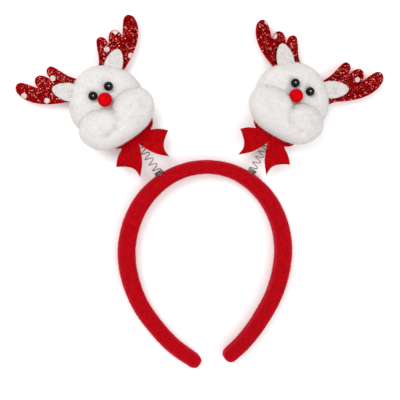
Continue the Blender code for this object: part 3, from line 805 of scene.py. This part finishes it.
def build_muzzle(figure):
    """The muzzle's one stuffed form, parted into two cheeks by its crease."""
    name = "muzzle_" + figure.label
    outline = [p - Vector(MUZZLE_CENTRE) for p in smooth_curve(MUZZLE_OUTLINE, 4, closed=True)]
    aside, up, turn, smaller = MUZZLE_SET[figure.label]
    turning = Matrix.Rotation(math.radians(turn), 2)
    outline = [turning @ p for p in offset(outline, smaller)]
    centre = (MUZZLE_CENTRE[0] + aside, MUZZLE_CENTRE[1] + up)
    muzzle = pillow(name + "_fleece", figure, outline, centre, MUZZLE_SEAM, MUZZLE_FRONT, MUZZLE_BACK, FLEECE)
    stuff(muzzle, voxel=1.8 * MM, pressure=4, cap=1.0 * MM)
    crease = smooth_curve(CREASE, 6)
    shift = Vector((figure.side * 23, 31, 9))

    def pressed(x, y):
        """The crease deepens over its first third and fades towards its end."""
        here = Vector((x, y))
        k, near = min(enumerate((p - here).length for p in crease), key=lambda item: item[1])
        share = k / (len(crease) - 1)
        kept = 1 - CREASE_FADE * share**1.5
        kept *= CREASE_START + (1 - CREASE_START) * min(1.0, share / 0.3)
        groove = kept * sum(deep * soft(near, width) for deep, width in CREASE_DENTS)
        return groove + dents(MUZZLE_DENTS, x, y) + lumps(MUZZLE_LUMPS, shift, x, y)

    press(muzzle, figure, pressed)
    settle(muzzle, "white_fleece", name)
    fuzz = fibres(name + "_fuzz", muzzle, count=30000, length=0.75 * MM, width=0.10 * MM, lean=0.7,
                  mat=FLEECE_FIBRE, seed=12)
    settle(fuzz, "white_fleece")


# Eyes and nose

BEAD_RADIUS = 3.6 * MM
POMPOM_RADIUS = 5.1 * MM
# How far the pompom's middle is below the CAD nose's top
POMPOM_SUNK = 6.0 * MM


def ball(name, centre, radius, mat, uneven=0.0):
    """A ball, uneven by a share of its radius, with its faces in the same order each time."""
    bm = bmesh.new()
    bmesh.ops.create_uvsphere(bm, u_segments=40, v_segments=24, radius=radius)
    bm.verts.index_update()
    verts = [vert.co * (1 + uneven * noise.noise(vert.co.normalized() * 2.5)) + centre for vert in bm.verts]
    faces = []
    for face in bm.faces:
        corners = [vert.index for vert in face.verts]
        first = corners.index(min(corners))
        faces.append(tuple(corners[first:] + corners[:first]))
    bm.free()
    return make(name, verts, sorted(faces), mat)


def build_face(figure):
    """Two bead eyes and a pompom nose."""
    for where in HANDS:
        node = f"eye_{where}_{figure.label}"
        bead = ball(node + "_bead", node_centre(node), BEAD_RADIUS, BEAD)
        settle(bead, "black_bead", node)
    node = "nose_" + figure.label
    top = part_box(node)[1][2]
    centre = node_centre(node)
    centre.z = top - POMPOM_SUNK
    nose = ball(node + "_pompom", centre, POMPOM_RADIUS, POMPOM, uneven=0.04)
    settle(nose, "red_pompom", node)
    pile = fibres(node + "_pile", nose, count=9000, length=0.5 * MM, width=0.10 * MM, lean=0.6, mat=POMPOM,
                  seed=5)
    settle(pile, "red_pompom")


# Flat felt pieces

def offset(outline, by):
    """The outline moved inwards by that much all round."""
    count = len(outline)
    area = sum(outline[i].x * outline[(i + 1) % count].y - outline[(i + 1) % count].x * outline[i].y
               for i in range(count))
    sign = 1 if area > 0 else -1
    made = []
    for i in range(count):
        along = (outline[(i + 1) % count] - outline[i - 1]).normalized()
        made.append(outline[i] + Vector((-along.y, along.x)) * sign * by)
    return made


def plate(name, figure, outline, low, high, mat, round_by, lift=None):
    """Felt cut to the outline, its edges slightly rounded. lift(x, y) raises it here and there."""
    verts = []
    levels = ((low, round_by), (low + round_by, 0.0), (high - round_by, 0.0), (high, round_by))
    for z, inset in levels:
        for p in offset(outline, inset):
            rise = lift(p.x, p.y) if lift else 0.0
            verts.append(figure.place(p.x, p.y, z + rise))
    obj = make(name, verts, lofted(len(levels), len(outline)), mat, smooth=False)
    bm = bmesh.new()
    bm.from_mesh(obj.data)
    bmesh.ops.triangulate(bm, faces=[f for f in bm.faces if len(f.verts) > 4])
    bm.to_mesh(obj.data)
    bm.free()
    return obj


ANTLER_REACH, ANTLER_RISE = 54.0, 36.5
ANTLER_ROOT = Vector((20.0, 10.0))
ANTLER_LOW, ANTLER_THICKNESS = 9.0, 1.6
# The film's thickness, how far it and its flakes stay inside the felt's edge, and the flakes' height over its foot
FILM_THICKNESS, FILM_INSET, FLAKE_INSET, FLAKE_HEIGHT = 0.35, 0.45, 0.9, 0.62
FLAKE_COUNT, FLAKE_SEED = 1400, 40
FLAKE_SIZE, FLAKE_TILT = (0.22, 0.42), 0.30
# Columns: share of the reach, share of the rise, whether the outline turns a corner there
ANTLER_OUTLINE = (
    (0.100, 0.330, True), (0.180, 0.471, False), (0.256, 0.616, False), (0.324, 0.822, False),
    (0.380, 0.950, False), (0.444, 0.959, False), (0.489, 0.877, False), (0.488, 0.735, True),
    (0.546, 0.863, False), (0.611, 0.926, False), (0.676, 0.904, False), (0.709, 0.816, False),
    (0.712, 0.710, True), (0.811, 0.899, False), (0.880, 0.998, False), (0.954, 0.998, False),
    (1.000, 0.890, False), (0.981, 0.726, False), (0.917, 0.562, False), (0.815, 0.411, False),
    (0.694, 0.288, False), (0.556, 0.186, False), (0.426, 0.104, False), (0.320, -0.030, True),
)
# Columns: the root's place in millimetres, turn in degrees, size, seen with the antler's own side to the right
ANTLER_SET = {
    "outer_left": (20.6, 11.0, 0.0, 0.985),
    "inner_left": (20.3, 9.2, 3.6, 1.02),
    "outer_right": (28.5, 10.6, 10.3, 1.065),
    "inner_right": (17.2, 9.3, -6.5, 1.015),
}
# White dots, in millimetres in the figure's frame
DOTS = {
    "outer_left": ((25.1, 27.1), (50.9, 27.2), (38.1, 15.0)),
    "inner_left": ((-22.1, 24.3), (-35.2, 32.4), (-35.6, 10.6)),
    "outer_right": ((40.4, 29.6),),
    "inner_right": ((-37.0, 25.8), (-47.6, 32.6)),
}


def with_corners(rows, steps):
    """A smooth line through the rows that breaks at each corner."""
    corners = [i for i, row in enumerate(rows) if row[2]]
    made = []
    for a, b in zip(corners, corners[1:]):
        made += smooth_curve([row[:2] for row in rows[a:b + 1]], steps)[:-1]
    return made + [Vector(rows[-1][:2])]


def flakes(name, figure, outline, height, mat, seed):
    """Loose-looking glitter flakes on the film, each tilted its own way."""
    rng = np.random.default_rng(seed)
    xs, ys = [p.x for p in outline], [p.y for p in outline]
    verts, faces = [], []
    made = 0
    while made < FLAKE_COUNT:
        x, y = rng.uniform(min(xs), max(xs)), rng.uniform(min(ys), max(ys))
        inside = False
        for i in range(len(outline)):
            a, b = outline[i - 1], outline[i]
            if (a.y > y) != (b.y > y) and x < (b.x - a.x) * (y - a.y) / (b.y - a.y) + a.x:
                inside = not inside
        if not inside:
            continue
        made += 1
        size = rng.uniform(*FLAKE_SIZE)
        tilt = Vector(rng.normal(size=3) * FLAKE_TILT + np.array((0, 0, 1))).normalized()
        turn = tilt.to_track_quat("Z", "Y").to_matrix()
        start = len(verts)
        for k in range(6):
            angle = math.pi / 3 * k
            p = Vector((x, y, height)) + turn @ Vector((size * math.cos(angle), size * math.sin(angle), 0))
            verts.append(figure.place(p.x, p.y, p.z))
        faces.append(tuple(range(start, start + 6)))
    return make(name, verts, faces, mat, smooth=False)


def build_antler(figure, where, seed):
    """A felt antler with glitter film and flakes on its front."""
    label = f"{where}_{figure.label}"
    hand = HANDS[where]
    across, up, turn, size = ANTLER_SET[label]
    rows = [(x * ANTLER_REACH, y * ANTLER_RISE, corner) for x, y, corner in ANTLER_OUTLINE]
    turned = Matrix.Rotation(math.radians(turn), 2)
    outline = [Vector((across, up)) + size * (turned @ (p - ANTLER_ROOT)) for p in with_corners(rows, 6)]
    outline = [Vector((hand * p.x, p.y)) for p in outline]
    shift = Vector((seed, 2, 3))

    def lift(x, y):
        """How far the felt waves up or down."""
        return noise.noise(Vector((x, y, 0)) * 0.05 + shift) * 0.5

    film_low = ANTLER_LOW + ANTLER_THICKNESS - FILM_THICKNESS
    film_top = film_low + FILM_THICKNESS
    backing = plate(f"antler_{label}_felt", figure, outline, ANTLER_LOW, film_low, RED_EDGE, 0.25, lift)
    settle(backing, "red_felt", "antler_" + label)
    dots = [tuple(figure.place(x, y, film_top)) for x, y in DOTS[label]]
    mat = glitter_material("glitter_" + label, dots)
    trimmed = offset(outline, FILM_INSET)
    film = plate(f"antler_{label}_glitter", figure, trimmed, film_low + 0.02, film_top, mat, 0.08, lift)
    settle(film, "red_glitter")
    covered = offset(outline, FLAKE_INSET)
    spots = flakes(f"antler_{label}_flakes", figure, covered, film_low + FLAKE_HEIGHT, mat, seed)
    settle(spots, "red_glitter")


EAR_LOW, EAR_THICKNESS, EAR_LENGTH, EAR_HALF_WIDTH = 12.2, 2.0, 17.0, 6.9
# Columns: the root's place in millimetres, lean outwards in degrees, size
EAR_SET = {
    "outer_left": (17.6, 9.1, 47.2, 0.99),
    "inner_left": (17.2, 9.3, 50.3, 0.95),
    "outer_right": (21.5, 9.8, 60.0, 1.05),
    "inner_right": (17.6, 10.4, 43.5, 1.03),
}
# Columns: share of the length, share of the half width
EAR_OUTLINE = ((-0.30, 0.80), (0.00, 0.96), (0.25, 1.00), (0.52, 0.89), (0.76, 0.65), (0.93, 0.34), (1.00, 0.00))
# Columns: share of the way out, height over the ear's underside as a share of its thickness
EAR_LEVELS = (
    (0.0, 0.05), (0.6, 0.05), (0.97, 0.0), (1.0, 0.15), (1.0, 0.75), (0.975, 0.92), (0.93, 0.90), (0.88, 0.84),
    (0.75, 0.92), (0.55, 0.99), (0.3, 1.0), (0.0, 1.0),
)


def build_ear(figure, where):
    """A felt ear: full in the middle, with a firm cut rim."""
    hand = HANDS[where]
    across, up, lean, size = EAR_SET[f"{where}_{figure.label}"]
    edge = [(w * EAR_HALF_WIDTH, a * size * EAR_LENGTH) for a, w in EAR_OUTLINE]
    edge += [(-w, a) for w, a in reversed(edge[:-1])]
    leaning = Matrix.Rotation(-hand * math.radians(lean), 2)
    root = Vector((hand * across, up))
    outline = [root + leaning @ p for p in smooth_curve(edge, 6)]
    middle = sum(outline, Vector((0, 0))) / len(outline)
    verts = []
    for share, height in EAR_LEVELS:
        for p in outline:
            q = middle.lerp(p, max(share, 0.002))
            verts.append(figure.place(q.x, q.y, EAR_LOW + height * EAR_THICKNESS))
    node = f"ear_{where}_{figure.label}"
    ear = make(node + "_felt", verts, lofted(len(EAR_LEVELS), len(outline)), WHITE_FELT)
    settle(ear, "white_felt", node)
    fuzz = fibres(node + "_fuzz", ear, count=2600, length=0.45 * MM, width=0.08 * MM, lean=0.6,
                  mat=FLEECE_FIBRE, seed=21)
    settle(fuzz, "white_felt")


# Bow

KNOT_DROP = 9.0
TAIL_WIDTH, TAIL_LENGTH, TAIL_TUCK, TAIL_TURN = 24.7, 25.4, 4.5, -3.0
# How far the inner edge is off the bow's middle, and how far the outer tail rises to cross the inner one
TAIL_ASIDE, TAIL_CROSSING = 0.2, 1.5
TAIL_CURL, TAIL_WAVE = 1.6, 0.35
# Columns: share of the width, share of the length
TAIL_NEAR_EDGE = ((-0.03, 0.00), (0.02, 0.20), (0.11, 0.42), (0.27, 0.70))
TAIL_FAR_EDGE = ((0.52, -0.05), (0.80, 0.12))
TAIL_FORK = ((0.56, 1.00), (0.55, 0.76), (0.64, 0.58), (0.80, 0.44), (1.00, 0.31))
TAIL_GRID = 22
COLLAR_LOW, FELT_THICKNESS = 11.7, 1.3
COLLAR_HALF_WIDTH, COLLAR_DROP, COLLAR_TURN_UP, COLLAR_TUCK = 20.3, 9.6, 8.6, 2.0
# Share of the half width at the collar's hidden upper edge
COLLAR_TOP = 0.8
# Columns: share of the half width, share of the turn-up, from one end of the lower edge to its middle
COLLAR_EDGE = ((1.00, 1.00), (0.86, 0.45), (0.55, 0.08), (0.00, 0.00))


def build_tail(figure, where):
    """A forked felt tail that hangs from under the muzzle and curls a little forward.

    The outer one lies on top."""
    hand = HANDS[where]
    rows, columns = TAIL_GRID, TAIL_GRID

    def spot(across, along):
        """A point given in shares of the tail's width and length."""
        return Vector((across * TAIL_WIDTH, -along * TAIL_LENGTH))

    def edge(table, fork_point):
        """One long edge, from under the collar to the fork."""
        points = [spot(*row) for row in table]
        points = [points[0] + Vector((0, TAIL_TUCK))] + points + [spot(*fork_point)]
        return evenly(smooth_curve(points, 8), rows)

    near = edge(TAIL_NEAR_EDGE, TAIL_FORK[0])
    far = edge(TAIL_FAR_EDGE, TAIL_FORK[-1])
    fork = evenly(smooth_curve([spot(*p) for p in TAIL_FORK], 8), columns)
    turn = Matrix.Rotation(math.radians(TAIL_TURN), 2)
    low = COLLAR_LOW + FELT_THICKNESS + 0.3
    centre = []
    for r in range(rows):
        down = r / (rows - 1)
        for c in range(columns):
            side = c / (columns - 1)
            bent = fork[c] - near[-1].lerp(far[-1], side)
            p = near[r].lerp(far[r], side) + bent * down**2
            flat = turn @ Vector((hand * (p.x + TAIL_ASIDE), p.y))
            over = TAIL_CROSSING * (1 - down) ** 2 * (1 - side) if hand > 0 else 0.0
            wave = TAIL_WAVE * math.sin(3.0 * side + 4.0 * down)
            curl = TAIL_CURL * down**2 * (0.4 + 0.6 * side) + over + wave * down
            place = hung(figure, POSES[figure.label][2], flat.x, flat.y - KNOT_DROP)
            centre.append((place.x, place.y, low + curl))
    verts = [figure.place(x, y, z) for x, y, z in centre]
    verts += [figure.place(x, y, z + FELT_THICKNESS) for x, y, z in centre]
    faces = []
    top = rows * columns
    for r in range(rows - 1):
        for c in range(columns - 1):
            a = r * columns + c
            faces.append((a, a + 1, a + columns + 1, a + columns))
            faces.append((top + a, top + a + 1, top + a + columns + 1, top + a + columns))
    rim = list(range(columns))
    rim += [r * columns + columns - 1 for r in range(1, rows)]
    rim += [(rows - 1) * columns + c for c in range(columns - 2, -1, -1)]
    rim += [r * columns for r in range(rows - 2, 0, -1)]
    for i in range(len(rim)):
        a, b = rim[i], rim[(i + 1) % len(rim)]
        faces.append((a, b, top + b, top + a))
    node = f"bow_tail_{where}_{figure.label}"
    tail = make(node + "_felt", verts, faces, RED_FELT)
    tail.data.set_sharp_from_angle(angle=math.radians(50))
    settle(tail, "red_felt", node)
    fuzz = fibres(node + "_fuzz", tail, count=5000, length=0.35 * MM, width=0.07 * MM, lean=0.7, mat=RED_FIBRE,
                  seed=31)
    settle(fuzz, "red_felt")


def build_collar(figure):
    """The bow's loops: a felt crescent that shows below the muzzle's edge."""
    lower = [(x * COLLAR_HALF_WIDTH, y * COLLAR_TURN_UP - COLLAR_DROP) for x, y in COLLAR_EDGE]
    lower += [(-x, y) for x, y in reversed(lower[:-1])]
    top = COLLAR_TOP * COLLAR_HALF_WIDTH
    outline = smooth_curve(lower, 8) + [Vector((-top, COLLAR_TUCK)), Vector((top, COLLAR_TUCK))]
    outline = [hung(figure, POSES[figure.label][2], p.x, p.y) for p in outline]
    node = "bow_collar_" + figure.label
    collar = plate(node + "_felt", figure, outline, COLLAR_LOW, COLLAR_LOW + FELT_THICKNESS, RED_FELT, 0.3)
    settle(collar, "red_felt", node)


# Springs

WIRE, SPRING_RADIUS, FOOT_RADIUS, CLOSE_PITCH = 0.70, 2.95, 3.35, 1.0
FOOT_TURNS, OPEN_TURNS, TOP_TURNS = 3.5, 8.5, 1.5
SPRING_HEIGHT = 8.0
# How deep the spring stands in the band and in the head
SPRING_FOOT, SPRING_TOP = 1.0, 7.5
WIRE_UNEVEN, WIRE_STEPS, WIRE_SIDES = 0.12, 26, 10


def build_spring(figure):
    """The coil from its close turns on the band to its turns in the head, slightly uneven as bent wire is."""
    turned, reach = POSES[figure.label][1], POSES[figure.label][3]
    start, end = WIRE / 2 - SPRING_FOOT, reach + SPRING_TOP - WIRE / 2
    open_pitch = (end - start - (FOOT_TURNS + TOP_TURNS) * CLOSE_PITCH) / OPEN_TURNS
    turns = FOOT_TURNS + OPEN_TURNS + TOP_TURNS
    steps = round(turns * WIRE_STEPS)
    height = start
    line = []
    for k in range(steps + 1):
        turn = turns * k / steps
        eased = min(1.0, max(0.0, turn - FOOT_TURNS + 0.5))
        radius = FOOT_RADIUS + (SPRING_RADIUS - FOOT_RADIUS) * eased
        radius += WIRE_UNEVEN * math.sin(2.3 * turn + figure.side)
        angle = 2 * math.pi * turn
        place = hung(figure, -turned, radius * math.cos(angle), height - reach)
        line.append(figure.place(place.x, place.y, SPRING_HEIGHT + radius * math.sin(angle)))
        opened = FOOT_TURNS <= turn < FOOT_TURNS + OPEN_TURNS
        height += (open_pitch if opened else CLOSE_PITCH) * turns / steps
    node = "spring_" + figure.label
    spring = tube(node + "_wire", line, WIRE / 2 * MM, WIRE_SIDES, WIRE_STEEL)
    settle(spring, "spring_wire", node)


build_band()
for number, figure in enumerate(FIGURES):
    build_head(figure)
    build_muzzle(figure)
    build_face(figure)
    for where in HANDS:
        build_antler(figure, where, FLAKE_SEED + 2 * number + HANDS[where])
        build_ear(figure, where)
        build_tail(figure, where)
    build_collar(figure)
    build_spring(figure)

bpy.context.scene.view_settings.view_transform = "Standard"
add_camera()
add_stage()
